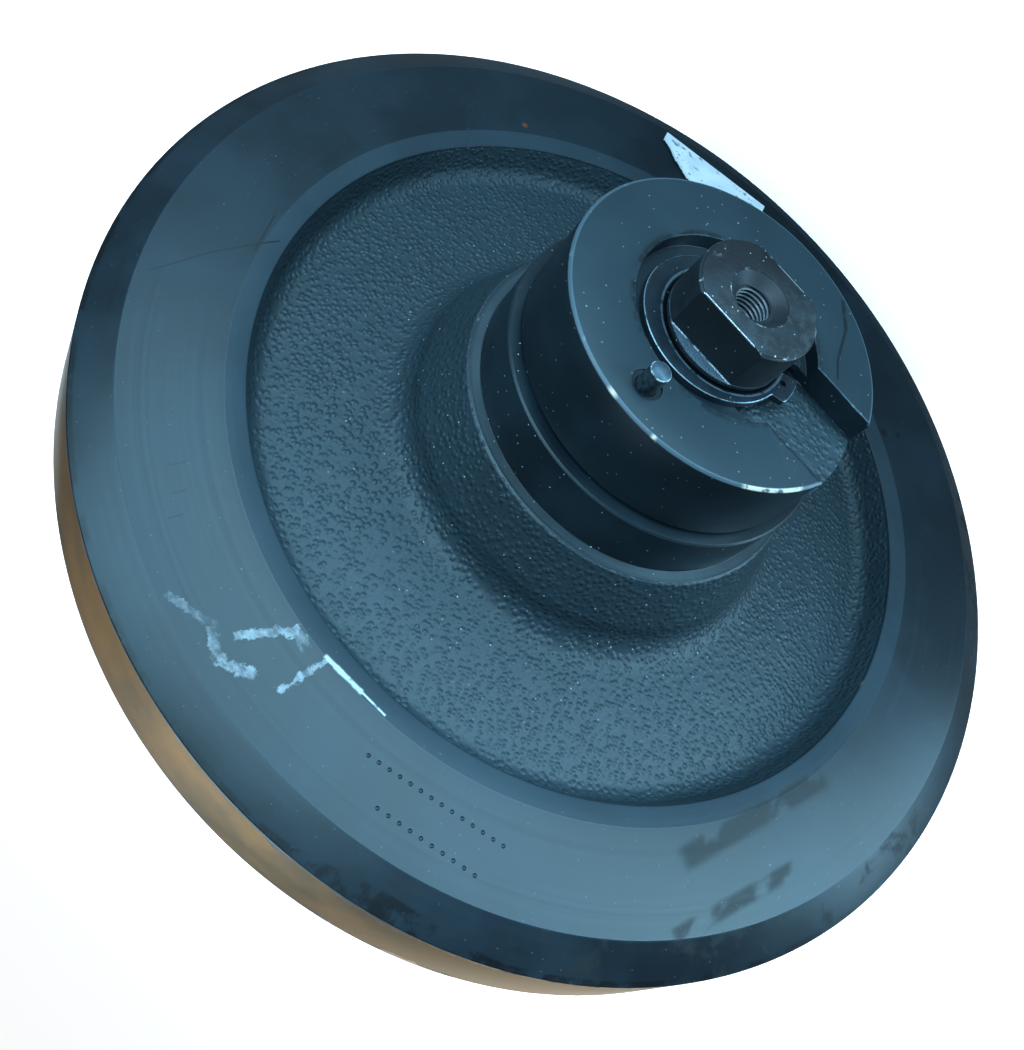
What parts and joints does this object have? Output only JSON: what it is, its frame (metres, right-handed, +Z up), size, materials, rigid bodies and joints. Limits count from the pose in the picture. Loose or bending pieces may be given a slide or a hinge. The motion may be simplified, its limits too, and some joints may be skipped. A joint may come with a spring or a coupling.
{
  "type": "front idler wheel assembly",
  "caption": "Front idler of a small tracked machine: one-piece wheel on a flanged-bushing shaft with face seals, slotted end collars, snap rings and locating pins.",
  "frame": {"origin": "centre of the wheel, on the shaft's axis and in the middle plane of the web", "axes": "+Y along the shaft to the left end, +Z up, +X to the front; the collar slots open to -X"},
  "size_m": [0.42, 0.2672, 0.42],
  "materials": {
    "black_paint_on_steel": "satin black paint over forged steel",
    "shaft_steel": "turned steel with a dull dark film",
    "plug_steel": "zinc-plated steel",
    "copper": "soft annealed copper",
    "label_film": "white film, torn",
    "seal_iron": "lapped white iron",
    "seal_rubber": "matt black nitrile rubber",
    "spring_steel": "oiled black spring steel",
    "pin_steel": "painted and worn dowel steel",
    "bushing_bronze": "sintered bronze"
  },
  "bodies": {
    "shaft_assembly": {"shaft": "shaft_steel", "collar_right": "black_paint_on_steel", "collar_seal_ring_right": "seal_iron", "collar_seal_rubber_right": "seal_rubber", "collar_o_ring_right": "seal_rubber", "snap_ring_right": "spring_steel", "locating_pin_right": "pin_steel", "collar_left": "black_paint_on_steel", "collar_seal_ring_left": "seal_iron", "collar_seal_rubber_left": "seal_rubber", "collar_o_ring_left": "seal_rubber", "snap_ring_left": "spring_steel", "locating_pin_left": "pin_steel"},
    "wheel_assembly": {"idler_wheel": "black_paint_on_steel", "oil_filler_plug": "plug_steel", "filler_plug_washer": "copper", "blank_label": "label_film", "bushing_right": "bushing_bronze", "hub_seal_ring_right": "seal_iron", "hub_seal_rubber_right": "seal_rubber", "bushing_left": "bushing_bronze", "hub_seal_ring_left": "seal_iron", "hub_seal_rubber_left": "seal_rubber"}
  },
  "joints": [
    {"name": "wheel_spin", "type": "hinge", "parent": "shaft_assembly", "child": "wheel_assembly", "pos_m": [0, 0, 0], "axis": [0, 1, 0], "continuous": true}
  ]
}
